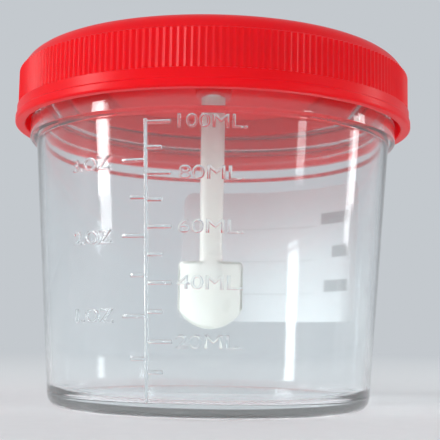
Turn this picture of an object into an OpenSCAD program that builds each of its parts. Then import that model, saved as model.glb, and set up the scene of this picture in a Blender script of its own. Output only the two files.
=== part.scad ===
// Screw-cap specimen container: a clear cup with moulded graduations, a ribbed
// cap, a spoon held in the cap, and a write-on label.
// The origin is at the centre of the underside of the cup, with +Z up.
// The graduations face -Y.

/* [Cup] */
// Height of the cup's rim
rim_z = 57.4; // [54:0.5:62]
// Outer diameter of the body at the base
base_d = 54.4; // [52:0.2:56]
// Outer diameter of the body under the collar
body_top_d = 61.1; // [59.1:0.5:63.1]
// Distance from the cap down to the collar's lower edge
collar_show = 2.6; // [2:0.1:4]
// How far the collar stands out from the body
collar_lip = 1.15; // [0.8:0.05:1.4]
// How far the neck steps in from the collar
neck_step = 0.5; // [0.4:0.05:0.8]
// Thickness of the body's wall and floor
cup_wall = 1.0; // [0.8:0.1:1.2]
// Thickness of the neck's wall
neck_wall = 1.4; // [1.2:0.1:1.6]
// Rounding radius between base and wall
base_round = 2.2; // [1.6:0.2:3]
// Rise of the floor's underside above the foot ring
foot_rise = 1.2; // [0.8:0.1:1.6]

/* [Thread] */
// Rise of the thread in one turn
thread_pitch = 3.6; // [3:0.1:4]
// Length of the thread in turns
thread_turns = 1.5; // [1:0.25:1.75]
// Height of the cup's thread above the neck
cup_thread_h = 0.65; // [0.5:0.05:0.7]
// Height of the cap's thread above the skirt's bore
cap_thread_h = 0.5; // [0.4:0.05:0.55]

/* [Graduations] */
// Volume at the highest mark, in millilitres
full_ml = 100; // [80:10:100]
// Volume between two marks, in millilitres
step_ml = 10; // [10:10:20]
// Number of half fluid ounce marks
oz_marks = 6; // [4:1:6]
// Height of the marks above the wall
mark_proud = 0.3; // [0.2:0.05:0.4]
// Height of the upright line above the wall
line_proud = 0.36; // [0.36:0.02:0.5]
// Thickness of a mark along the wall
mark_t = 0.6; // [0.4:0.1:0.8]
// Width of the upright line
line_w = 0.5; // [0.4:0.1:0.8]
// Length of a long mark
long_mark = 3.9; // [3:0.1:4.5]
// Length of a short mark
short_mark = 2.5; // [1.5:0.1:2.8]

/* [Cap] */
// Height of the cap
cap_h = 11.8; // [11:0.1:13]
// Thickness of the skirt between the ribs
skirt_t = 1.0; // [0.8:0.1:1.6]
// Thickness of the cap's top
panel_t = 1.7; // [1.4:0.1:2.2]
// Rounding radius of the cap's top edge
top_round = 3.8; // [3:0.2:4.2]
// Number of grip ribs
rib_count = 208; // [160:8:208]
// Height of a grip rib
rib_h = 0.38; // [0.3:0.02:0.5]
// Height of the plain band under the ribs, bead included
band_h = 2.9; // [2.4:0.1:3.2]
// Distance from the cap's top down to the ribs
rib_drop = 2.9; // [2.6:0.1:3.4]
// Depth of the sealing ring that enters the neck
seal_depth = 3.4; // [2.8:0.2:4]
// Outer diameter of the spoon's socket
socket_d = 6.4; // [6:0.2:8]

/* [Spoon] */
// Width of the scoop
scoop_w = 11.3; // [10:0.1:12]
// Length of the scoop
scoop_l = 11.8; // [10.5:0.1:13]
// Depth of the scoop
scoop_deep = 3.4; // [3:0.1:3.8]
// Thickness of the scoop's wall
scoop_wall = 0.9; // [0.8:0.1:1.1]
// Length of the handle below the socket
handle_l = 28.5; // [26:0.5:30]
// Width of the handle
handle_w = 4.25; // [3.6:0.05:4.4]
// Thickness of the handle
handle_t = 2.4; // [2.2:0.1:2.6]

/* [Label] */
// Width of the label around the cup
label_w = 43; // [30:0.5:48]
// Height of the label
label_h = 27; // [20:0.2:28]
// Distance from the collar down to the label
label_drop = 2.7; // [2:0.1:8]
// Thickness of the label
label_t = 0.12; // [0.1:0.01:0.2]

/* [Hidden] */
$fn = 128;
// Overlap where two shapes of one moulding are joined
join = 0.2;

// Cup: its heights hang from the rim, and the body's walls are parallel cones
cap_top_z = rim_z + panel_t;
cap_low_z = cap_top_z - cap_h;
collar_z = cap_low_z - collar_show;
base_r = base_d / 2;
body_top_r = body_top_d / 2;
collar_r = body_top_r + collar_lip;
neck_r = collar_r - neck_step;
neck_in_r = neck_r - neck_wall;
body_slope = (body_top_r - base_r) / collar_z;
floor_z = foot_rise + cup_wall;
foot_w = 1.2;
collar_step = 0.35;
collar_top_z = cap_low_z + 0.8;
rim_round = 0.45;
floor_round = 1.8;
inner_step_z = collar_z + 0.6;
function wall_r(z) = base_r + body_slope * z;
function inner_r(z) = wall_r(z) - cup_wall;

// Graduations: a cone's volume gives the height of each mark
oz_ml = 28.4;
full_oz_steps = 2;
line_az = -19;
mark_len_r = body_top_r;
function fill_z(ml) =
    floor_z + (pow(pow(inner_r(floor_z), 3) + 3 * body_slope * ml * 1000 / PI, 1 / 3)
    - inner_r(floor_z)) / body_slope;
function arc_deg(len) = len / mark_len_r * 180 / PI;

// Thread: one ridge, wound once round the neck and once inside the skirt
thread_root_w = 1.5;
thread_crest_w = 0.6;
thread_low_z = cap_low_z + 2.6;
thread_step = 6;
thread_fade = 6;
thread_gap = 0.25;

// Cap: the skirt's bore clears the cup's thread by the cap's own thread
skirt_in_r = neck_r + cup_thread_h + thread_gap + cap_thread_h;
bead_h = 1.4;
bead_step = 0.22;
rib_foot = 0.05;
rib_root_r = skirt_in_r + skirt_t;
band_r = rib_root_r + rib_h + 2 * rib_foot;
cap_r = band_r + bead_step;
rib_low_z = cap_low_z + band_h;
seal_t = 1.1;
seal_gap = 0.1;
seal_r = neck_in_r - seal_gap;
socket_low_z = rim_z - 3.8;
socket_bore_d = 3;

// Spoon: the scoop's closed side faces -Y, just proud of the handle
tenon_l = 3.4;
scoop_back_y = -handle_t / 2 - 0.2;
scoop_rim_y = scoop_back_y + scoop_deep;
scoop_top_z = socket_low_z - handle_l;
scoop_low_z = scoop_top_z - scoop_l;
scoop_back_r = 9;
scoop_tip_r = 6.3;
scoop_corner_r = 0.8;

// Label
label_az = 150;
label_corner = 2;
label_gap = 0.02;
label_z = collar_z - label_drop - label_h;

// Points of an arc about [x, y], from angle a to angle b
function arc(x, y, r, a, b, n = 6) =
    [for (i = [0:n]) [x + r * cos(a + (b - a) * i / n), y + r * sin(a + (b - a) * i / n)]];

// Half section of the cup's wall, from the floor's underside outwards
function cup_section() = concat(
    [[0, foot_rise], [base_r - base_round - foot_w - foot_rise, foot_rise]],
    [[base_r - base_round - foot_w, 0]],
    arc(wall_r(base_round) - base_round, base_round, base_round, -90, 0),
    [[wall_r(collar_z - collar_step), collar_z - collar_step]],
    [[collar_r - collar_step, collar_z], [collar_r, collar_z + collar_step]],
    [[collar_r, collar_top_z], [neck_r, collar_top_z + collar_r - neck_r]],
    arc(neck_r - rim_round, rim_z - rim_round, rim_round, 0, 90),
    arc(neck_in_r + rim_round, rim_z - rim_round, rim_round, 90, 180),
    [[neck_in_r, inner_step_z], [inner_r(inner_step_z - 0.8), inner_step_z - 0.8]],
    arc(inner_r(floor_z + floor_round) - floor_round, floor_z + floor_round, floor_round, 0, -90),
    [[0, floor_z]]);

// Strip that stands proud of the body's wall, from height low to height high
module wall_strip(low, high, proud) {
    polygon([
        [wall_r(low) - join, low], [wall_r(low) + proud, low],
        [wall_r(high) + proud, high], [wall_r(high) - join, high]]);
}

// The strip above, swept from azimuth az over deg degrees; azimuth 0 is -Y
module wall_band(az, deg, low, high, proud) {
    rotate([0, 0, az - 90])
        rotate_extrude(angle = deg) wall_strip(low, high, proud);
}

// Mark that ends inside the upright line and shows to a given length beside it;
// side is 1 to the right and -1 to the left
module mark(z, len, side) {
    deg = arc_deg(len + line_w / 4);
    near_az = line_az + side * arc_deg(line_w / 4);
    wall_band(side > 0 ? near_az : near_az - deg, deg, z - mark_t / 2, z + mark_t / 2, mark_proud);
}

module graduations() {
    for (ml = [step_ml:step_ml:full_ml])
        mark(fill_z(ml), ml % (2 * step_ml) == 0 ? long_mark : short_mark, 1);
    for (i = [1:oz_marks])
        mark(fill_z(i * oz_ml / 2), i % full_oz_steps == 0 ? long_mark : short_mark, -1);
    wall_band(line_az - arc_deg(line_w) / 2, arc_deg(line_w), floor_z, fill_z(full_ml) + mark_t,
        line_proud);
}

// Points of the thread's ridge on radius r; out is 1 on the neck and -1 in the skirt
function thread_ring(i, n, r, h, out) =
    let(
        a = i * thread_step,
        z = thread_low_z + thread_pitch * a / 360,
        fade = min(1, i / thread_fade, (n - i) / thread_fade),
        root = r - out * join,
        crest = r + out * h * fade,
        section = [
            [root, z - thread_root_w / 2], [crest, z - thread_crest_w / 2],
            [crest, z + thread_crest_w / 2], [root, z + thread_root_w / 2]])
    [for (p = section) [p[0] * cos(a), p[0] * sin(a), p[1]]];

module thread(r, h, out) {
    n = thread_turns * 360 / thread_step;
    points = [for (i = [0:n]) each thread_ring(i, n, r, h, out)];
    quads = concat(
        [[3, 2, 1, 0]],
        [for (i = [0:n - 1], k = [0:3])
            let(a = 4 * i + k, b = 4 * i + (k + 1) % 4) [a, b, b + 4, a + 4]],
        [[for (k = [0:3]) 4 * n + k]]);
    faces = [for (f = quads) each [[f[0], f[1], f[2]], [f[0], f[2], f[3]]]];
    polyhedron(points, out > 0 ? faces : [for (f = faces) [f[2], f[1], f[0]]]);
}

module cup() {
    color([0.80, 0.86, 0.89, 0.45]) {
        rotate_extrude() polygon(cup_section());
        thread(neck_r, cup_thread_h, 1);
        graduations();
    }
}

// Half section of the cap without ribs, seal and socket
function cap_section() = concat(
    [[0, rim_z], [skirt_in_r - 0.8, rim_z], [skirt_in_r, rim_z - 0.8]],
    [[skirt_in_r, cap_low_z + 0.3], [skirt_in_r + 0.3, cap_low_z]],
    arc(cap_r - 0.4, cap_low_z + 0.4, 0.4, -90, 0),
    [[cap_r, cap_low_z + bead_h - bead_step], [band_r, cap_low_z + bead_h]],
    [[band_r, rib_low_z - 0.2], [rib_root_r, rib_low_z + 0.2]],
    arc(rib_root_r - top_round, cap_top_z - top_round, top_round, 0, 90, 10),
    [[0, cap_top_z]]);

// Outline of the ribbed zone: each rib has a foot, just proud of the skirt, and a crest
function rib_outline() =
    let(step = 360 / rib_count)
    [for (i = [0:rib_count - 1], q = [0, 1])
        let(a = (i + q / 2) * step, r = rib_root_r + rib_foot + q * rib_h)
        [r * cos(a), r * sin(a)]];

module ribs() {
    translate([0, 0, rib_low_z]) linear_extrude(cap_top_z - rib_drop - rib_low_z) difference() {
        polygon(rib_outline());
        circle(rib_root_r - join);
    }
}

module cap() {
    color([0.90, 0.04, 0.11]) difference() {
        union() {
            rotate_extrude() polygon(cap_section());
            ribs();
            thread(skirt_in_r, cap_thread_h, -1);
            // sealing ring
            rotate_extrude() polygon([
                [seal_r - seal_t, rim_z + join], [seal_r - seal_t, rim_z - seal_depth],
                [seal_r - 0.4, rim_z - seal_depth], [seal_r, rim_z - seal_depth + 0.8],
                [seal_r, rim_z + join]]);
            // socket that holds the spoon
            translate([0, 0, socket_low_z]) cylinder(h = rim_z + join - socket_low_z, d = socket_d);
        }
        translate([0, 0, socket_low_z - 1]) cylinder(h = tenon_l + 1.1, d = socket_bore_d);
    }
}

// Outline of the scoop in width and height, drawn smaller by inset
module scoop_outline(inset) {
    half = scoop_w / 2 - inset;
    corner = max(scoop_corner_r - inset, 0.1);
    intersection() {
        union() {
            translate([-half, scoop_low_z - 1]) square([2 * half, scoop_l + 1 - inset - corner]);
            translate([-half + corner, scoop_top_z - inset - corner - 0.1])
                square([2 * (half - corner), corner + 0.1]);
            for (s = [-1, 1])
                translate([s * (half - corner), scoop_top_z - inset - corner]) circle(corner);
        }
        union() {
            translate([0, scoop_low_z + scoop_tip_r]) circle(scoop_tip_r - inset);
            translate([-scoop_w, scoop_low_z + scoop_tip_r])
                square([2 * scoop_w, scoop_l]);
        }
    }
}

// Solid of the scoop with its rounded back, drawn smaller by inset; past is how
// far it runs beyond the open side
module scoop_block(inset, past) {
    intersection() {
        translate([0, scoop_rim_y + past, 0]) rotate([90, 0, 0])
            linear_extrude(scoop_deep + past) scoop_outline(inset);
        translate([0, scoop_back_y + scoop_back_r, scoop_low_z - 1])
            cylinder(h = scoop_l + 2, r = scoop_back_r - inset);
    }
}

// Handle of oval section, and the tenon that fills the socket
module handle() {
    low_z = scoop_top_z - scoop_l / 3;
    side_r = (handle_w + handle_t) / 2;
    intersection() {
        translate([-handle_w / 2, -handle_t / 2, low_z])
            cube([handle_w, handle_t, socket_low_z - low_z]);
        intersection_for (side = [-1, 1])
            translate([0, side * handle_w / 2, low_z - 1]) cylinder(h = 2 * handle_l, r = side_r);
    }
    translate([0, 0, socket_low_z - join]) cylinder(h = tenon_l + join, d = socket_bore_d);
}

module spoon() {
    color([0.95, 0.97, 0.94]) difference() {
        union() {
            scoop_block(0, 0);
            handle();
        }
        scoop_block(scoop_wall, 1);
    }
}

// Prism that rounds one corner of the label; sx and sz are the corner's signs
module label_corner_cut(sx, sz) {
    deg = label_w / 2 / wall_r(label_z + label_h / 2) * 180 / PI;
    z = sz > 0 ? label_z + label_h : label_z;
    rotate([0, 0, label_az - 90 + sx * deg]) translate([base_r - 4, 0, z])
        rotate([90, 0, 90]) linear_extrude(10) translate([-sx * label_corner, -sz * label_corner])
            difference() {
                mirror([sx < 0 ? 1 : 0, 0]) mirror([0, sz < 0 ? 1 : 0]) square(2 * label_corner);
                circle(label_corner);
            }
}

module label() {
    deg = label_w / wall_r(label_z + label_h / 2) * 180 / PI;
    low = label_z;
    high = label_z + label_h;
    color([0.93, 0.93, 0.93]) difference() {
        rotate([0, 0, label_az - deg / 2 - 90]) rotate_extrude(angle = deg) polygon([
            [wall_r(low) + label_gap, low], [wall_r(low) + label_gap + label_t, low],
            [wall_r(high) + label_gap + label_t, high], [wall_r(high) + label_gap, high]]);
        for (sx = [-1, 1], sz = [-1, 1]) label_corner_cut(sx, sz);
    }
}

cup();
cap();
spoon();
label();
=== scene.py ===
# %% [markdown]
# # A screw-cap specimen container
# The real object comes apart into four pieces: a clear moulded cup, a red screw cap, a white
# spoon that is pressed into the cap, and a write-on label. The CAD model fixes every size and
# place. This lesson builds a finer skin over each of the four CAD pieces, gives it the plastic
# that it is moulded from, and lights it softly on a pale table.
#
# The first cell loads the CAD model as a fixed frame. Every piece built later is meant to
# stay inside its CAD part, and prints its heights beside that part's.

# %% Load the frame
import math

import bmesh
import bpy
from mathutils import Matrix, Vector


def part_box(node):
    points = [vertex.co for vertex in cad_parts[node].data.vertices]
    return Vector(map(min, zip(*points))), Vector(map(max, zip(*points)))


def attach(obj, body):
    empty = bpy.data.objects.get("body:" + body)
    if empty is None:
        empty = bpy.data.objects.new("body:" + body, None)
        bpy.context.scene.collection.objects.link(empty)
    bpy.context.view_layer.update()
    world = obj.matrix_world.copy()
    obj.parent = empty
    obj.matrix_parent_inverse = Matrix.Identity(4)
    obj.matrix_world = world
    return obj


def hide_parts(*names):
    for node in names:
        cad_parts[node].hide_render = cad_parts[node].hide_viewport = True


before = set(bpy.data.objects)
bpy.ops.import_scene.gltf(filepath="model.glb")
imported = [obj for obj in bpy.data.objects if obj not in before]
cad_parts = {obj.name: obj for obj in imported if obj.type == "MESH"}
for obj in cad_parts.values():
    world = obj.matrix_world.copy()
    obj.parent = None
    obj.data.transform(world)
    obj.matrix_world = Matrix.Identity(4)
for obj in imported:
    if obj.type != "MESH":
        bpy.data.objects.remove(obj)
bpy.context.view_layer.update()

# %% [markdown]
# ## Sizes
# A moulded part is drawn in millimetres, and Blender works in metres. Every piece here is built
# in millimetres and scaled once when it is finished, so the numbers can be read against a
# calliper. These are the CAD model's own sizes. Azimuth 0 is the front, where the marks are.

# %% Sizes in millimetres
MM = 0.001
RIM_Z = 57.4
CAP_TOP_Z = 59.1
CAP_LOW_Z = 47.3
COLLAR_Z = 44.7
FLOOR_Z = 2.2
BASE_R = 27.2
BODY_SLOPE = (30.55 - BASE_R) / COLLAR_Z
COLLAR_R = 31.7
NECK_R = 31.2
NECK_IN_R = 29.8
CUP_WALL = 1.0
SKIRT_IN_R = 32.6
SOCKET_LOW_Z = 53.6
THREAD_LOW_Z = CAP_LOW_Z + 2.6
THREAD_PITCH = 3.6
THREAD_TURNS = 1.5
CUP_THREAD_H, CAP_THREAD_H, ROOT_SUNK = 0.65, 0.5, 0.2


def wall_radius(z):
    """Outer radius of the cup's tapered body at height z."""
    return BASE_R + BODY_SLOPE * z


print("body radius at the floor and under the collar:", wall_radius(FLOOR_Z), wall_radius(COLLAR_Z))

# %% [markdown]
# ## Turned shapes
# Cup and cap are bodies of revolution. A lathe in Blender is a half section spun round the Z
# axis. Real mouldings have no knife edges, because plastic doesn't fill them, so each corner of
# the half section carries its own rounding radius and is drawn as a short arc. Spin slows
# down as a mesh grows, so it turns one narrow sector first and then copies that round.


# %% Helpers for turned shapes
def rounded(corners, segments=5):
    """Points of an open half section. Each corner is (radius, height, rounding)."""
    points = []
    for i, (r, z, rounding) in enumerate(corners):
        here = Vector((r, z))
        if not rounding:
            points.append(here)
            continue
        before = (Vector(corners[i - 1][:2]) - here).normalized()
        after = (Vector(corners[i + 1][:2]) - here).normalized()
        half = before.angle(after) / 2
        centre = here + (before + after).normalized() * rounding / math.sin(half)
        start = here + before * rounding / math.tan(half) - centre
        end = here + after * rounding / math.tan(half) - centre
        for k in range(segments + 1):
            points.append(centre + start.slerp(end, k / segments).normalized() * rounding)
    return points


def turn(points, sectors, columns=1):
    """Spins a half section round the Z axis into sectors of a few columns each."""
    bm = bmesh.new()
    verts = [bm.verts.new((p[0], 0, p[1])) for p in points]
    edges = [bm.edges.new(pair) for pair in zip(verts, verts[1:])]
    axis = {"cent": (0, 0, 0), "axis": (0, 0, 1)}
    bmesh.ops.spin(bm, geom=verts + edges, angle=math.tau / sectors, steps=columns, **axis)
    sector = bm.verts[:] + bm.edges[:] + bm.faces[:]
    bmesh.ops.spin(bm, geom=sector, angle=math.tau, steps=sectors, use_duplicate=True, **axis)
    bmesh.ops.remove_doubles(bm, verts=bm.verts, dist=0.0005)
    bmesh.ops.recalc_face_normals(bm, faces=bm.faces)
    return bm


def add_part(bm, part):
    """Adds a part's mesh to the moulding in bm, and frees the part."""
    mesh = bpy.data.meshes.new("part")
    part.to_mesh(mesh)
    part.free()
    bm.from_mesh(mesh)
    bpy.data.meshes.remove(mesh)


def finish_piece(bm, name, material, body, node, sharp_deg=40):
    """Scales the mesh to metres, faces it outwards and gives it to the frame."""
    bmesh.ops.scale(bm, vec=(MM, MM, MM), verts=bm.verts)
    bmesh.ops.recalc_face_normals(bm, faces=bm.faces)
    print(name, "open edges:", sum(not e.is_manifold for e in bm.edges))
    mesh = bpy.data.meshes.new(name)
    bm.to_mesh(mesh)
    bm.free()
    mesh.shade_smooth()
    mesh.set_sharp_from_angle(angle=math.radians(sharp_deg))
    mesh.materials.append(material)
    piece = bpy.data.objects.new(name, mesh)
    bpy.context.scene.collection.objects.link(piece)
    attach(piece, body)
    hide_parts(node)
    low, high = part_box(node)
    heights = [v.co.z for v in mesh.vertices]
    print(name, "faces:", len(mesh.polygons), "height in mm:", round(min(heights) / MM, 2), "to",
          round(max(heights) / MM, 2), "CAD:", round(low.z / MM, 2), "to", round(high.z / MM, 2))


corner = rounded([(0, 0, 0), (1, 0, 0.2), (1, 1, 0)])
print("points on one rounded corner:", len(corner) - 2)

# %% [markdown]
# ## Screw threads
# A thread is one ridge wound up a cylinder. Spin takes a lift per step, so a spun section
# climbs as it turns. A moulded thread doesn't start as a step: it rises out of the wall over
# about a tenth of a turn and sinks back at its end, so that it can enter its partner.


# %% Wind a thread
ROOT_HALF, CREST_HALF = 0.75, 0.3
STEPS_PER_TURN = 60
FADE_TURN = 0.1


def wind(root_r, crest_r):
    """Winds a ridge from root_r to crest_r, with tapered ends."""
    bm = bmesh.new()
    section = [(root_r, -ROOT_HALF), (crest_r, -CREST_HALF), (crest_r, CREST_HALF),
               (root_r, ROOT_HALF)]
    verts = [bm.verts.new((r, 0, THREAD_LOW_Z + dz)) for r, dz in section]
    face = bm.faces.new(verts)
    bmesh.ops.spin(bm, geom=[face], cent=(0, 0, 0), axis=(0, 0, 1),
                   dvec=(0, 0, THREAD_PITCH / STEPS_PER_TURN), angle=math.tau * THREAD_TURNS,
                   steps=round(THREAD_TURNS * STEPS_PER_TURN))
    for v in bm.verts:
        turn_here = math.atan2(v.co.y, v.co.x) / math.tau
        climbed = (v.co.z - THREAD_LOW_Z) / THREAD_PITCH
        turn_here += round(climbed - turn_here)
        left = THREAD_TURNS - turn_here
        fade = max(0.0, min(1.0, turn_here / FADE_TURN, left / FADE_TURN))
        r = v.co.xy.length
        v.co.xy *= (root_r + (r - root_r) * fade) / r
    bmesh.ops.recalc_face_normals(bm, faces=bm.faces)
    return bm


print("a thread climbs in mm:", THREAD_PITCH * THREAD_TURNS)

# %% [markdown]
# ## Colours and nodes
# Colours are written as the hex values that a designer would pick on a screen. Blender's
# shaders want linear light, so one function converts them. Another adds a node together with
# its settings and its links, which keeps each material's recipe short enough to read.


# %% Helpers for materials
def linear(hex_colour):
    """An sRGB hex colour as linear RGBA."""
    channels = [int(hex_colour[i:i + 2], 16) / 255 for i in (1, 3, 5)]
    return [c / 12.92 if c <= 0.04045 else ((c + 0.055) / 1.055) ** 2.4 for c in channels] + [1.0]


def add_node(tree, kind, inputs=None, **settings):
    """Adds a node. An input is a value to set or another node's output to link."""
    made = tree.nodes.new(kind)
    for name, value in settings.items():
        setattr(made, name, value)
    for name, value in (inputs or {}).items():
        if isinstance(value, bpy.types.NodeSocket):
            tree.links.new(value, made.inputs[name])
        else:
            made.inputs[name].default_value = value
    return made


def new_material(name):
    """An empty node material, and its tree."""
    material = bpy.data.materials.new(name)
    material.use_nodes = True
    material.node_tree.nodes.clear()
    return material, material.node_tree


def per_mm(size_mm):
    """Noise scale that makes one blob about size_mm across on Object coordinates."""
    return 1 / (size_mm * MM)


print("screen grey #808080 in linear light:", round(linear("#808080")[0], 3))

# %% [markdown]
# ## Clear polypropylene, moulded
# The cup is clear polypropylene: thin, colourless and a little milky, because the plastic
# crystallises as it cools in the mould. It bends light as a solid with an IOR of 1.49, so the
# wall is modelled with both its faces. Three things sell it to the eye: a faint haze, which
# is the few hundredths of the light that the wall doesn't transmit, a surface that waves by
# a few hundredths of a millimetre, and a roughness that wanders with the flow of the melt.
#
# Lamps have to reach the spoon through the wall, so shadow rays meet a plain tinted
# Transparent shader instead of the glass. So does light that has gone round inside the wall
# many times, because a real wall lets it out at last. Without this, the cup's foot and rim
# would look dark.

# %% Clear polypropylene
TRAPPED_AFTER = 6.5
clear_polypropylene, tree = new_material("clear_polypropylene_moulded")
place = add_node(tree, "ShaderNodeTexCoord").outputs["Object"]
flow = add_node(tree, "ShaderNodeMapping", {"Vector": place, "Scale": (1, 1, 0.35)})
flow_noise = add_node(tree, "ShaderNodeTexNoise", {
    "Vector": flow.outputs["Vector"], "Scale": per_mm(7), "Detail": 2.0, "Roughness": 0.4})
haze_noise = add_node(tree, "ShaderNodeTexNoise", {
    "Vector": place, "Scale": per_mm(1.2), "Detail": 3.0})
roughness = add_node(tree, "ShaderNodeMapRange", {
    "Value": haze_noise.outputs["Fac"], "From Min": 0.3, "From Max": 0.7,
    "To Min": 0.03, "To Max": 0.07})
waves = add_node(tree, "ShaderNodeBump", {
    "Height": flow_noise.outputs["Fac"], "Strength": 0.2, "Distance": 0.1 * MM})
plastic = add_node(tree, "ShaderNodeBsdfPrincipled", {
    "Base Color": linear("#f8fbfc"), "Roughness": roughness.outputs["Result"],
    "IOR": 1.49, "Transmission Weight": 0.97, "Normal": waves.outputs["Normal"]})
straight = add_node(tree, "ShaderNodeBsdfTransparent", {"Color": linear("#fbfdfd")})
ray = add_node(tree, "ShaderNodeLightPath")
trapped = add_node(tree, "ShaderNodeMath", {0: ray.outputs["Ray Depth"], 1: TRAPPED_AFTER},
                   operation="GREATER_THAN")
straight_on = add_node(tree, "ShaderNodeMath", {
    0: ray.outputs["Is Shadow Ray"], 1: trapped.outputs[0]}, operation="MAXIMUM")
wall = add_node(tree, "ShaderNodeMixShader", {
    0: straight_on.outputs[0], 1: plastic.outputs[0], 2: straight.outputs[0]})
add_node(tree, "ShaderNodeOutputMaterial", {"Surface": wall.outputs[0]})
print("clear polypropylene nodes:", len(tree.nodes))

# %% [markdown]
# ## Red polyethylene, moulded
# The cap is high-density polyethylene, coloured right through and only about a millimetre
# thick. Red light wanders some way through it, so its edges are warm, and a part of the light
# comes out on the far side, which makes the inside of the cap glow. Its skin copies a lightly
# blasted steel mould: a satin gloss with a fine grain. The grain is about 0.3 mm here, a
# little coarser than the real one, so that it still shows at arm's length.

# %% Red polyethylene
THROUGH_WALL = 0.3
red_polyethylene, tree = new_material("red_polyethylene_moulded")
place = add_node(tree, "ShaderNodeTexCoord").outputs["Object"]
grain = add_node(tree, "ShaderNodeTexNoise", {
    "Vector": place, "Scale": per_mm(0.3), "Detail": 2.0})
cloud = add_node(tree, "ShaderNodeTexNoise", {
    "Vector": place, "Scale": per_mm(1.5), "Detail": 2.0})
colour = add_node(tree, "ShaderNodeMix", {
    "Factor": cloud.outputs["Fac"], "A": linear("#f00214"), "B": linear("#f6031a")},
    data_type="RGBA")
gloss = add_node(tree, "ShaderNodeMapRange", {
    "Value": cloud.outputs["Fac"], "To Min": 0.26, "To Max": 0.36})
skin = add_node(tree, "ShaderNodeBump", {
    "Height": grain.outputs["Fac"], "Strength": 0.2, "Distance": 0.03 * MM})
plastic = add_node(tree, "ShaderNodeBsdfPrincipled", {
    "Base Color": colour.outputs["Result"], "Roughness": gloss.outputs["Result"],
    "IOR": 1.54, "Specular IOR Level": 0.25, "Subsurface Weight": 0.75,
    "Subsurface Radius": (1.0, 0.06, 0.06),
    "Subsurface Scale": 2.5 * MM, "Normal": skin.outputs["Normal"]})
glow = add_node(tree, "ShaderNodeBsdfTranslucent", {
    "Color": linear("#ff2a1c"), "Normal": skin.outputs["Normal"]})
wall = add_node(tree, "ShaderNodeMixShader", {
    0: THROUGH_WALL, 1: plastic.outputs[0], 2: glow.outputs[0]})
add_node(tree, "ShaderNodeOutputMaterial", {"Surface": wall.outputs[0]})
print("red polyethylene nodes:", len(tree.nodes))

# %% [markdown]
# ## White polypropylene, moulded
# The spoon is polypropylene with a white pigment. It is a shade off white with a green-grey
# cast, glows a little at its thin edges, and is glossier than the cap because its mould was
# polished.

# %% White polypropylene
white_polypropylene, tree = new_material("white_polypropylene_moulded")
place = add_node(tree, "ShaderNodeTexCoord").outputs["Object"]
cloud = add_node(tree, "ShaderNodeTexNoise", {
    "Vector": place, "Scale": per_mm(4), "Detail": 3.0})
colour = add_node(tree, "ShaderNodeMix", {
    "Factor": cloud.outputs["Fac"], "A": linear("#e2e8e1"), "B": linear("#ebf0ea")},
    data_type="RGBA")
gloss = add_node(tree, "ShaderNodeMapRange", {
    "Value": cloud.outputs["Fac"], "From Min": 0.3, "From Max": 0.7,
    "To Min": 0.25, "To Max": 0.36})
skin = add_node(tree, "ShaderNodeBump", {
    "Height": cloud.outputs["Fac"], "Strength": 0.2, "Distance": 0.06 * MM})
plastic = add_node(tree, "ShaderNodeBsdfPrincipled", {
    "Base Color": colour.outputs["Result"], "Roughness": gloss.outputs["Result"],
    "IOR": 1.49, "Subsurface Weight": 0.2, "Subsurface Radius": (1.0, 1.0, 0.9),
    "Subsurface Scale": 0.6 * MM, "Normal": skin.outputs["Normal"]})
add_node(tree, "ShaderNodeOutputMaterial", {"Surface": plastic.outputs[0]})
print("white polypropylene nodes:", len(tree.nodes))

# %% [markdown]
# ## Write-on film, coated and printed
# The label is a thin polypropylene film with a chalky coating that takes a pen. The print is
# generic: three short dark blocks where such a label names its fields, and a ruled line to
# write on beside each. The print follows the film, so it is drawn on the label's own UV map,
# which runs from 0 to 1 across the label and up it. The film is thin enough for the print to
# show weakly on its glued side, through the cup.

# %% Write-on film
LABEL_W, LABEL_H = 43.0, 27.0
FIELD_U, FIELD_V, FIELD_H = 0.08, (0.76, 0.51, 0.26), 0.085
FIELD_LENGTH = (0.20, 0.12, 0.17)
RULE_U, RULE_W, RULE_T, RULE_DROP = 0.63, 0.62, 0.012, 0.05
RULE_INK = 0.3
write_on_film, tree = new_material("write_on_film_printed")
place = add_node(tree, "ShaderNodeTexCoord")
split = add_node(tree, "ShaderNodeSeparateXYZ", {"Vector": place.outputs["UV"]})
across, up = split.outputs["X"], split.outputs["Y"]


def printed_block(centre_u, centre_v, width, height):
    """1 inside a block of print and 0 outside it. All sizes are shares of the label."""
    sides = []
    for along, centre, size in ((across, centre_u, width), (up, centre_v, height)):
        sides.append(add_node(tree, "ShaderNodeMath", {
            0: along, 1: centre, 2: size / 2}, operation="COMPARE").outputs[0])
    return add_node(tree, "ShaderNodeMath", {0: sides[0], 1: sides[1]},
                    operation="MULTIPLY").outputs[0]


ink = None
for field_v, length in zip(FIELD_V, FIELD_LENGTH):
    field = printed_block(FIELD_U + length / 2, field_v, length, FIELD_H)
    rule = add_node(tree, "ShaderNodeMath", {
        0: printed_block(RULE_U, field_v - RULE_DROP, RULE_W, RULE_T), 1: RULE_INK},
        operation="MULTIPLY")
    for block in (field, rule.outputs[0]):
        ink = block if ink is None else add_node(
            tree, "ShaderNodeMath", {0: ink, 1: block}, operation="MAXIMUM").outputs[0]
chalk = add_node(tree, "ShaderNodeTexNoise", {
    "Vector": place.outputs["Object"], "Scale": per_mm(0.5), "Detail": 4.0})
paper = add_node(tree, "ShaderNodeMix", {
    "Factor": chalk.outputs["Fac"], "A": linear("#d3d6d8"), "B": linear("#e4e6e8")},
    data_type="RGBA")
strength = add_node(tree, "ShaderNodeAttribute", attribute_name="ink_strength")
ink = add_node(tree, "ShaderNodeMath", {0: ink, 1: strength.outputs["Fac"]}, operation="MULTIPLY")
printed = add_node(tree, "ShaderNodeMix", {
    "Factor": ink.outputs[0], "A": paper.outputs["Result"], "B": linear("#43484d")},
    data_type="RGBA")
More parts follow.
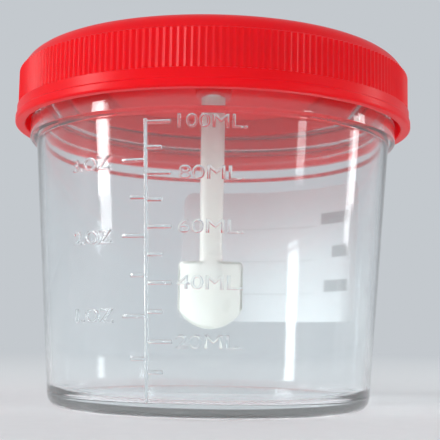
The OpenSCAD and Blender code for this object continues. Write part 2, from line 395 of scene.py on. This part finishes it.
tooth = add_node(tree, "ShaderNodeBump", {
    "Height": chalk.outputs["Fac"], "Strength": 0.3, "Distance": 0.02 * MM})
film = add_node(tree, "ShaderNodeBsdfPrincipled", {
    "Base Color": printed.outputs["Result"], "Roughness": 0.62, "IOR": 1.49,
    "Normal": tooth.outputs["Normal"]})
add_node(tree, "ShaderNodeOutputMaterial", {"Surface": film.outputs[0]})
print("write-on film nodes:", len(tree.nodes))

# %% [markdown]
# ## The cup's wall
# The cup is one moulding. Its half section starts under the raised floor, runs out to the
# foot ring, up the tapered body to the collar and neck, over the rim and down the inside.
# Both faces of the wall belong to one closed skin, which is what glass and clear plastic
# need in a path tracer.

# %% Turn the cup
CUP_CORNERS = [
    (0, 1.2, 0), (22.6, 1.2, 0.6), (23.8, 0, 0.35), (wall_radius(0), 0, 2.1),
    (wall_radius(44.35), 44.35, 0.25), (31.35, COLLAR_Z, 0.15), (COLLAR_R, 45.05, 0.25),
    (COLLAR_R, 48.1, 0.2), (NECK_R, 48.6, 0.2),
    (NECK_R, RIM_Z, 0.45), (NECK_IN_R, RIM_Z, 0.45),
    (NECK_IN_R, 45.3, 0.5), (wall_radius(44.5) - CUP_WALL, 44.5, 0.5),
    (wall_radius(FLOOR_Z) - CUP_WALL, FLOOR_Z, 1.8), (0, FLOOR_Z, 0)]
cup_bm = turn(rounded(CUP_CORNERS), 256)
print("cup wall faces:", len(cup_bm.faces))

# %% [markdown]
# ## The cup's thread and marks
# The marks were cut into the mould, so on the cup they stand proud by a few tenths of a
# millimetre, with soft edges. Each is drawn flat, as a bar or as letters, and then laid on
# the cone: its x becomes an arc length round the body and its depth becomes a radius. The
# marks sit where a measured volume fills the cone, so the gaps shrink towards the top. The
# ounce is the imperial one, and every second mark is long, on either side of the line.

# %% Lay flat shapes on the cone
LINE_AZ = -19
MARK_PROUD = 0.3
LINE_PROUD = 0.36
SUNK = 0.15
EDGE_SOFT = 0.13
LONG_MARK, SHORT_MARK, MARK_HALF_T = 3.9, 2.5, 0.3
LINE_HALF_W = 0.25
MARK_START = 0.1
FULL_ML = 100
OZ_ML = 28.4


def lay_on_cone(verts, azimuth_deg):
    """Wraps verts drawn flat, x to the right, z up and -y towards the viewer."""
    for v in verts:
        r = wall_radius(v.co.z)
        a = math.radians(azimuth_deg) + v.co.x / r
        r -= v.co.y
        v.co = (r * math.sin(a), -r * math.cos(a), v.co.z)


def fill_height(ml):
    """Height of the liquid's surface for a volume, from the volume of a cone."""
    inner = wall_radius(FLOOR_Z) - CUP_WALL
    return FLOOR_Z + ((inner ** 3 + 3 * BODY_SLOPE * ml * 1000 / math.pi) ** (1 / 3)
                      - inner) / BODY_SLOPE


def bar(bm, x_low, x_high, z_low, z_high, proud):
    """A bar with soft edges, sunk into the wall so that it leaves no gap."""
    made = bmesh.ops.create_cube(bm, size=1)["verts"]
    size = Vector((x_high - x_low, proud + SUNK, z_high - z_low))
    bmesh.ops.scale(bm, vec=size, verts=made)
    middle = ((x_low + x_high) / 2, (SUNK - proud) / 2, (z_low + z_high) / 2)
    bmesh.ops.translate(bm, vec=middle, verts=made)
    edges = list({e for v in made for e in v.link_edges})
    soft = bmesh.ops.bevel(bm, geom=edges, offset=EDGE_SOFT, segments=2, profile=0.5,
                           affect="EDGES", material=-1)
    verts = list({v for f in soft["faces"] for v in f.verts} | {v for v in made if v.is_valid})
    lay_on_cone(verts, LINE_AZ)


marks_bm = bmesh.new()
for ml in range(10, FULL_ML + 1, 10):
    z = fill_height(ml)
    length = LONG_MARK if ml % 20 == 0 else SHORT_MARK
    bar(marks_bm, MARK_START, length, z - MARK_HALF_T, z + MARK_HALF_T, MARK_PROUD)
for half_oz in range(1, 7):
    z = fill_height(half_oz * OZ_ML / 2)
    length = LONG_MARK if half_oz % 2 == 0 else SHORT_MARK
    bar(marks_bm, -length, -MARK_START, z - MARK_HALF_T, z + MARK_HALF_T, MARK_PROUD)
line_top_z = fill_height(FULL_ML) + 2 * MARK_HALF_T
bar(marks_bm, -LINE_HALF_W, LINE_HALF_W, FLOOR_Z, line_top_z, LINE_PROUD)
add_part(cup_bm, marks_bm)
add_part(cup_bm, wind(NECK_R - ROOT_SUNK, NECK_R + CUP_THREAD_H))
print("cup faces with marks and thread:", len(cup_bm.faces))

# %% [markdown]
# ## The cup's numbers
# Volume numbers are cut with a round-nosed tool, so their strokes are thin and soft, and wide
# letters are easier to cut. A text object gives the strokes, thinned by a negative offset.
# It becomes a mesh, is stretched to its width and is laid on the cone like the bars.

# %% Number the marks
LETTER_H = 2.05
ML_AZ, ML_W, ML_100_W = -0.1, 9.7, 10.3
OZ_AZ, OZ_W = -38, 7.6
LETTERS_UP = 0.1


def lettering(words, azimuth_deg, middle_z, width):
    """Raised letters of a given width, centred on an azimuth and a height."""
    text = bpy.data.curves.new(words, "FONT")
    text.body = words
    text.resolution_u = 4
    text.offset = -0.007
    text.extrude = 0.05
    text.bevel_depth = 0.02
    text.bevel_resolution = 1
    writer = bpy.data.objects.new(words, text)
    bpy.context.scene.collection.objects.link(writer)
    flat = bpy.data.meshes.new_from_object(
        writer.evaluated_get(bpy.context.evaluated_depsgraph_get()))
    bm = bmesh.new()
    bm.from_mesh(flat)
    low = Vector(min(v.co[i] for v in bm.verts) for i in range(3))
    high = Vector(max(v.co[i] for v in bm.verts) for i in range(3))
    for v in bm.verts:
        share = Vector((v.co[i] - low[i]) / (high[i] - low[i]) for i in range(3))
        v.co = ((share.x - 0.5) * width, SUNK - share.z * (SUNK + MARK_PROUD),
                middle_z + (share.y - 0.5) * LETTER_H)
    bmesh.ops.remove_doubles(bm, verts=bm.verts, dist=0.001)
    lay_on_cone(bm.verts, azimuth_deg)
    bpy.data.objects.remove(writer)
    bpy.data.meshes.remove(flat)
    return bm


for ml in range(20, FULL_ML + 1, 20):
    width = ML_100_W if ml == FULL_ML else ML_W
    add_part(cup_bm, lettering(f"{ml}ML.", ML_AZ, fill_height(ml) + LETTERS_UP, width))
for oz in (1, 2, 3):
    add_part(cup_bm, lettering(f"{oz}.OZ", OZ_AZ, fill_height(oz * OZ_ML), OZ_W))
finish_piece(cup_bm, "clear_cup", clear_polypropylene, "cup_body", "cup")

# %% [markdown]
# ## The cap
# The cap is a lid with a skirt. Its half section starts under the lid, turns down the bore of
# the skirt, round the lower bead, up the plain band and the ribbed zone and over the rounded
# shoulder. The grip ribs are too many to model one by one. Instead, each sector of the spin
# is one rib with six columns, and the rows of the ribbed zone are pushed out by a wave. It
# rises sharply at the band and ends on the lowest part of the shoulder.

# %% Turn the cap and raise its ribs
RIB_COUNT = 208
RIB_FOOT_R = 33.65
RIB_H = 0.24
RIB_COLUMNS = 6
CREST_POWER = 1.3
RIB_RISE = 0.12
RIB_LOW_Z, RIB_TOP_Z = 50.2, 56.33
CAP_R = 34.3
BAND_R = 34.08
SHOULDER_R = 3.8
SKIRT_R = 33.6
WALL_MIDDLE_R = (SKIRT_IN_R + SKIRT_R) / 2
GATE_R, GATE_DEEP = 2.4, 0.12
shoulder_z = CAP_TOP_Z - SHOULDER_R
outside = rounded([
    (0, RIM_Z, 0), (SKIRT_IN_R, RIM_Z, 0.8), (SKIRT_IN_R, CAP_LOW_Z, 0.3),
    (CAP_R, CAP_LOW_Z, 0.4), (CAP_R, 48.5, 0.15), (BAND_R, 48.72, 0.15),
    (BAND_R, RIB_LOW_Z, 0)])
# Rows for the ribs to bend: close together just above the band and where the ribs end.
outside += [Vector((SKIRT_R, z)) for z in (50.32, 50.5, 50.9, 52.5, 54.2)]
for step_deg in (0, 3.5, 7, 10.5, 12, 13.7, 15.4, 18, 24, 32, 41, 50, 59, 68, 77, 84, 90):
    a = math.radians(step_deg)
    outside.append(Vector((SKIRT_R - SHOULDER_R + SHOULDER_R * math.cos(a),
                           shoulder_z + SHOULDER_R * math.sin(a))))
outside += [Vector((GATE_R, CAP_TOP_Z)), Vector((GATE_R - 0.5, CAP_TOP_Z - GATE_DEEP)),
            Vector((0, CAP_TOP_Z - GATE_DEEP))]
cap_bm = turn(outside, RIB_COUNT, RIB_COLUMNS)
for v in cap_bm.verts:
    r = v.co.xy.length
    if r < WALL_MIDDLE_R or not RIB_LOW_Z < v.co.z < RIB_TOP_Z:
        continue
    crest = (0.5 + 0.5 * math.cos(RIB_COUNT * math.atan2(v.co.y, v.co.x))) ** CREST_POWER
    rise = min(1.0, (v.co.z - RIB_LOW_Z) / RIB_RISE, (RIB_TOP_Z - v.co.z) / RIB_RISE)
    r_ribbed = r + rise * (RIB_FOOT_R + RIB_H * crest - r)
    v.co.xy *= r_ribbed / r
print("cap skin faces:", len(cap_bm.faces))

# %% [markdown]
# ## Under the cap
# Three more shapes belong to the same moulding: a sealing ring that enters the neck, the
# thread inside the skirt, and the socket that grips the spoon. They start a little inside
# the lid, so no gap shows where they meet it.

# %% Add the sealing ring, the inner thread and the socket
LID_Z = RIM_Z + 0.2
SEAL_IN_R, SEAL_TIP_R, SEAL_R = 28.6, 29.3, 29.7
SEAL_LOW_Z, SEAL_TIP = 54.0, 0.8
BORE_R, BORE_TOP_Z, SOCKET_R = 1.5, 57.0, 3.2
add_part(cap_bm, turn(rounded([
    (SEAL_IN_R, LID_Z, 0), (SEAL_IN_R, SEAL_LOW_Z, 0.3), (SEAL_TIP_R, SEAL_LOW_Z, 0.2),
    (SEAL_R, SEAL_LOW_Z + SEAL_TIP, 0.3), (SEAL_R, LID_Z, 0)]) + [(SEAL_IN_R, LID_Z)], 160))
add_part(cap_bm, turn(rounded([
    (0, BORE_TOP_Z, 0), (BORE_R, BORE_TOP_Z, 0), (BORE_R, SOCKET_LOW_Z, 0.2),
    (SOCKET_R, SOCKET_LOW_Z, 0.4), (SOCKET_R, LID_Z, 0), (0, LID_Z, 0)]), 64))
add_part(cap_bm, wind(SKIRT_IN_R + ROOT_SUNK, SKIRT_IN_R - CAP_THREAD_H))
finish_piece(cap_bm, "red_cap", red_polyethylene, "cap_body", "cap")

# %% [markdown]
# ## The spoon
# The scoop is a shallow pan with a curved back, straight sides and a round tip. Its outer and
# inner skins are the same shape in two sizes: a grid is moved onto the outline, its open edge
# is pulled to the pan's open side, and the corner between them is bevelled. The handle is an
# oval bar that narrows a little on its way down and flares where it runs into the back of
# the scoop. Its tenon fills the cap's socket.
#
# Bridging the two open edges is meant to make a narrow rim. It has a fault that is left
# standing here: the bridge joins points on opposite sides of the opening, so its faces cover
# the hollow. The real scoop and the CAD model are open there. A sound rim has no edge much
# longer than the wall is thick, so the cell prints both.


# %% Shape the scoop
SCOOP_WALL, SCOOP_RIM_Y, SCOOP_SOFT = 0.85, 2.0, 0.45


def pan(inset):
    """One skin of the scoop, drawn smaller by inset and open on its +Y side."""
    half, tip_r, corner = 5.65 - inset, 6.3 - inset, 0.8
    low_z, top_z = 13.3 + inset, 25.1 - inset
    back_y, back_r = -1.4 + inset, 9.0 - inset
    bm = bmesh.new()
    bmesh.ops.create_grid(bm, x_segments=28, y_segments=22, size=1)
    for v in bm.verts:
        x = half * math.sin(v.co.x * math.pi / 2)
        tip_z = low_z + tip_r - math.sqrt(tip_r ** 2 - x ** 2)
        past_corner = max(0.0, abs(x) - (half - corner))
        end_z = top_z - corner + math.sqrt(corner ** 2 - past_corner ** 2)
        share = 0.5 + 0.5 * math.sin(v.co.y * math.pi / 2)
        bulge = back_r - math.sqrt(back_r ** 2 - x ** 2)
        v.co = (x, back_y + bulge, tip_z + (end_z - tip_z) * share)
    edge_of_back = [e for e in bm.edges if e.is_boundary]
    pulled = bmesh.ops.extrude_edge_only(bm, edges=edge_of_back)["geom"]
    for v in pulled:
        if isinstance(v, bmesh.types.BMVert):
            v.co.y = SCOOP_RIM_Y
    bmesh.ops.bevel(bm, geom=edge_of_back, offset=SCOOP_SOFT, segments=4, profile=0.5,
                    affect="EDGES", material=-1)
    return bm


spoon_bm = pan(0)
add_part(spoon_bm, pan(SCOOP_WALL))
rim = bmesh.ops.bridge_loops(spoon_bm, edges=[e for e in spoon_bm.edges if e.is_boundary])
bmesh.ops.recalc_face_normals(spoon_bm, faces=spoon_bm.faces)
print("scoop faces:", len(spoon_bm.faces), "of them in the rim:", len(rim["faces"]))
longest = max(e.calc_length() for f in rim["faces"] for e in f.edges)
print("longest edge of the rim in mm:", round(longest, 2), "wall in mm:", SCOOP_WALL)

# %% [markdown]
# The handle is listed by its sections: a height, and half the width and half the thickness
# there. The bar grows from one section to the next with the shape of a unit oval, and takes
# its widths at the end. Growing keeps the old end face. The first is the bar's own lower
# end, and the later ones would lie inside it, so they go.
#
# There is a second fault here: the bar's lower end stands 1.7 mm into the scoop's hollow,
# just under the scoop's top wall. The CAD model's hollow is clear there.

# %% Add the handle
handle_bm = bmesh.new()
bmesh.ops.create_circle(handle_bm, cap_ends=True, segments=40, radius=1)
for v in handle_bm.verts:
    v.co.x = math.copysign(abs(v.co.x) ** 0.72, v.co.x)
    v.co.y = math.copysign(abs(v.co.y) ** 0.85, v.co.y)
# Below BOWL_Z the bar flares only on its front, and its +Y side keeps these two values.
BACK_W, BACK_T, BOWL_Z = 1.95, 1.15, 26
sections = {22.1: (2.8, 1.2), 22.6: (2.9, 1.43), 23.6: (2.65, 1.5), 24.6: (2.2, 1.5),
            25.5: (2.0, 1.4), 26.8: (1.97, 1.22), 36.0: (2.05, 1.18), 50.0: (2.12, 1.2),
            SOCKET_LOW_Z - 0.05: (2.12, 1.2), SOCKET_LOW_Z: (1.48, 1.48), 56.9: (1.48, 1.48)}
low_z, *higher = sections
end = handle_bm.faces[:][0]
bmesh.ops.translate(handle_bm, vec=(0, 0, low_z), verts=handle_bm.verts)
for z in higher:
    grown = bmesh.ops.extrude_face_region(handle_bm, geom=[end])["geom"]
    if z > higher[0]:
        bmesh.ops.delete(handle_bm, geom=[end], context="FACES_ONLY")
    end = next(g for g in grown if isinstance(g, bmesh.types.BMFace))
    for v in end.verts:
        v.co.z = z
for v in handle_bm.verts:
    half_w, half_t = sections[min(sections, key=lambda z: abs(z - v.co.z))]
    if v.co.y > 0 and v.co.z < BOWL_Z:
        half_w, half_t = BACK_W, BACK_T
    v.co.x *= half_w
    v.co.y *= half_t
add_part(spoon_bm, handle_bm)
finish_piece(spoon_bm, "white_spoon", white_polypropylene, "cap_body", "spoon")

# %% [markdown]
# ## The label
# The label is cut from flat film and stuck round the cup, so it is built the same way: one
# flat face with its four corners rounded, sliced into strips that can bend, given its
# thickness, and then laid on the cone. Each corner of a face carries the print's coordinates,
# and an attribute makes the ink weaker on the glued side, where it shows through the film.

# %% Cut the label and stick it on
LABEL_Z, LABEL_AZ, LABEL_CORNER = 15.0, 150.0, 2.0
GLUE, FILM = 0.02, 0.12
STRIPS = 40
THROUGH_FILM = 0.5
label_bm = bmesh.new()
print_map = label_bm.loops.layers.uv.new("print")
bmesh.ops.create_grid(label_bm, x_segments=1, y_segments=1, size=0.5)
bmesh.ops.scale(label_bm, vec=(LABEL_W, LABEL_H, 1), verts=label_bm.verts)
bmesh.ops.bevel(label_bm, geom=label_bm.verts, offset=LABEL_CORNER, segments=8, profile=0.5,
                affect="VERTICES", material=-1)
for k in range(1, STRIPS):
    whole = label_bm.verts[:] + label_bm.edges[:] + label_bm.faces[:]
    bmesh.ops.bisect_plane(label_bm, geom=whole,
                           plane_co=(LABEL_W * (k / STRIPS - 0.5), 0, 0), plane_no=(1, 0, 0))
film_faces = bmesh.ops.extrude_face_region(label_bm, geom=label_bm.faces[:])["geom"]
bmesh.ops.translate(label_bm, vec=(0, 0, FILM),
                    verts=[g for g in film_faces if isinstance(g, bmesh.types.BMVert)])
for corner in (loop for f in label_bm.faces for loop in f.loops):
    x, y, _ = corner.vert.co
    corner[print_map].uv = (x / LABEL_W + 0.5, y / LABEL_H + 0.5)
ink_strength = label_bm.verts.layers.float.new("ink_strength")
for v in label_bm.verts:
    v[ink_strength] = 1.0 if v.co.z > FILM / 2 else THROUGH_FILM
    v.co = (v.co.x, -(GLUE + v.co.z), LABEL_Z + LABEL_H / 2 + v.co.y)
lay_on_cone(label_bm.verts, LABEL_AZ)
finish_piece(label_bm, "write_on_label", write_on_film, "cup_body", "label")

# %% [markdown]
# ## Table
# The table is a wide round sheet of pale paper. Near the object it is plain lit paper, so it
# takes the object's shadow. Further out it fades into the flat colour that the sky shows, and
# its edge disappears. Only what the camera, a mirror or a clear wall sees fades: light that
# bounces off the sheet still meets paper everywhere.

# %% Lay the sheet
PALE = "#c4c9ce"
TABLE_R, TABLE_Z = 3.0, -0.00005
FADE_FROM, FADE_TO = 0.07, 0.45


def seen_by_eye(tree):
    """1 on rays that carry a picture: straight, mirrored or through clear plastic."""
    ray = add_node(tree, "ShaderNodeLightPath")
    seen = ray.outputs["Is Camera Ray"]
    for name in ("Is Glossy Ray", "Is Transmission Ray"):
        seen = add_node(tree, "ShaderNodeMath", {0: seen, 1: ray.outputs[name]},
                        operation="MAXIMUM").outputs[0]
    return seen


pale_paper, tree = new_material("pale_paper_uncoated")
place = add_node(tree, "ShaderNodeTexCoord").outputs["Object"]
fibres = add_node(tree, "ShaderNodeTexNoise", {"Vector": place, "Scale": per_mm(3), "Detail": 4.0})
paper = add_node(tree, "ShaderNodeMix", {
    "Factor": fibres.outputs["Fac"], "A": linear("#e4e7ea"), "B": linear("#eaedef")},
    data_type="RGBA")
sheet = add_node(tree, "ShaderNodeBsdfPrincipled", {
    "Base Color": paper.outputs["Result"], "Roughness": 0.8})
away = add_node(tree, "ShaderNodeVectorMath", {0: place}, operation="LENGTH")
fade = add_node(tree, "ShaderNodeMapRange", {
    "Value": away.outputs["Value"], "From Min": FADE_FROM, "From Max": FADE_TO},
    interpolation_type="SMOOTHSTEP")
share = add_node(tree, "ShaderNodeMath", {0: fade.outputs["Result"], 1: seen_by_eye(tree)},
                 operation="MULTIPLY")
flat = add_node(tree, "ShaderNodeEmission", {"Color": linear(PALE), "Strength": 1.0})
both = add_node(tree, "ShaderNodeMixShader", {
    0: share.outputs[0], 1: sheet.outputs[0], 2: flat.outputs[0]})
add_node(tree, "ShaderNodeOutputMaterial", {"Surface": both.outputs[0]})

table_bm = bmesh.new()
bmesh.ops.create_circle(table_bm, cap_ends=True, segments=64, radius=TABLE_R)
bmesh.ops.translate(table_bm, vec=(0, 0, TABLE_Z), verts=table_bm.verts)
table_mesh = bpy.data.meshes.new("table")
table_bm.to_mesh(table_mesh)
table_bm.free()
table_mesh.materials.append(pale_paper)
table = bpy.data.objects.new("table", table_mesh)
bpy.context.scene.collection.objects.link(table)
print("table radius in m:", TABLE_R, "faces up:", table_mesh.polygons[0].normal.z > 0)

# %% [markdown]
# ## Light
# Clear plastic shows itself by what it mirrors. Three narrow soft boxes stand to the left,
# to the right and at the side. They draw the upright highlights, on the front of the wall
# and again on its far side, which mirrors like a hollow mirror. A large soft box above
# opens up the cap's shoulder. The panels light the part and don't show in it: one in front,
# one behind for the label, and one under the cup, which brings out the inside of the cap. An
# even pale sky fills the rest. Light power is worked out from the radiance wanted, so a box
# can change size and stay as bright.

# %% Hang the lamps
def soft_box(name, azimuth_deg, distance, height, size, radiance, mirrored=True):
    """An area lamp that stands round the object at an azimuth and looks at it."""
    lamp = bpy.data.lights.new(name, "AREA")
    lamp.shape = "RECTANGLE"
    lamp.size, lamp.size_y = size
    lamp.energy = math.pi * size[0] * size[1] * radiance
    box = bpy.data.objects.new(name, lamp)
    a = math.radians(azimuth_deg)
    box.location = (distance * math.sin(a), -distance * math.cos(a), height)
    middle = Vector((0, 0, CAP_TOP_Z / 2 * MM))
    box.rotation_euler = (middle - box.location).to_track_quat("-Z", "Y").to_euler()
    box.visible_camera = False
    box.visible_glossy = box.visible_transmission = mirrored
    bpy.context.scene.collection.objects.link(box)
    print(name, "power in W:", round(lamp.energy, 2))


soft_box("left_soft_box", -70, 0.45, 0.145, (0.07, 0.30), 14)
soft_box("right_soft_box", 56, 0.50, 0.085, (0.05, 0.08), 9)
soft_box("side_soft_box", 98, 0.45, 0.19, (0.05, 0.36), 7)
soft_box("top_soft_box", -25, 0.75, 0.75, (0.7, 0.5), 1.0)
soft_box("front_panel", -6, 0.60, 0.08, (0.50, 0.20), 3.3, mirrored=False)
soft_box("back_panel", 150, 0.60, 0.25, (0.40, 0.30), 1.6, mirrored=False)
soft_box("panel_under_cup", 0, 0, -0.00002, (0.04, 0.04), 3.0, mirrored=False)

sky = bpy.data.worlds.new("pale_studio")
bpy.context.scene.world = sky
sky.use_nodes = True
sky.node_tree.nodes.clear()
tree = sky.node_tree
fill = add_node(tree, "ShaderNodeBackground", {"Color": linear("#f4f6f8"), "Strength": 0.56})
shown = add_node(tree, "ShaderNodeBackground", {"Color": linear(PALE), "Strength": 1.0})
both = add_node(tree, "ShaderNodeMixShader", {
    0: seen_by_eye(tree), 1: fill.outputs[0], 2: shown.outputs[0]})
add_node(tree, "ShaderNodeOutputWorld", {"Surface": both.outputs[0]})

# %% [markdown]
# ## Camera
# The camera stands close, just above the table, and looks slightly up, as a phone does when
# it is held in front of a small object. It turns a little to the right, so the cup stands
# left of the middle, and it leans a little, as a hand-held camera does.

# %% Set the camera
lens = bpy.data.cameras.new("camera")
lens.sensor_width = 36.0
lens.lens = 78.8
lens.clip_start = 0.01
camera = bpy.data.objects.new("camera", lens)
PITCH_UP, TURN_RIGHT, LEAN = math.radians(6.57), 0.0089, 0.0165
STAND = (0, -0.1678, 0.0128)
camera.matrix_world = (Matrix.Translation(STAND)
                       @ Matrix.Rotation(-TURN_RIGHT, 4, "Z")
                       @ Matrix.Rotation(math.pi / 2 + PITCH_UP, 4, "X")
                       @ Matrix.Rotation(LEAN, 4, "Z"))
bpy.context.scene.collection.objects.link(camera)
bpy.context.scene.camera = camera
bpy.context.scene.view_settings.view_transform = "Standard"
print("field of view in degrees:", round(math.degrees(lens.angle), 1))
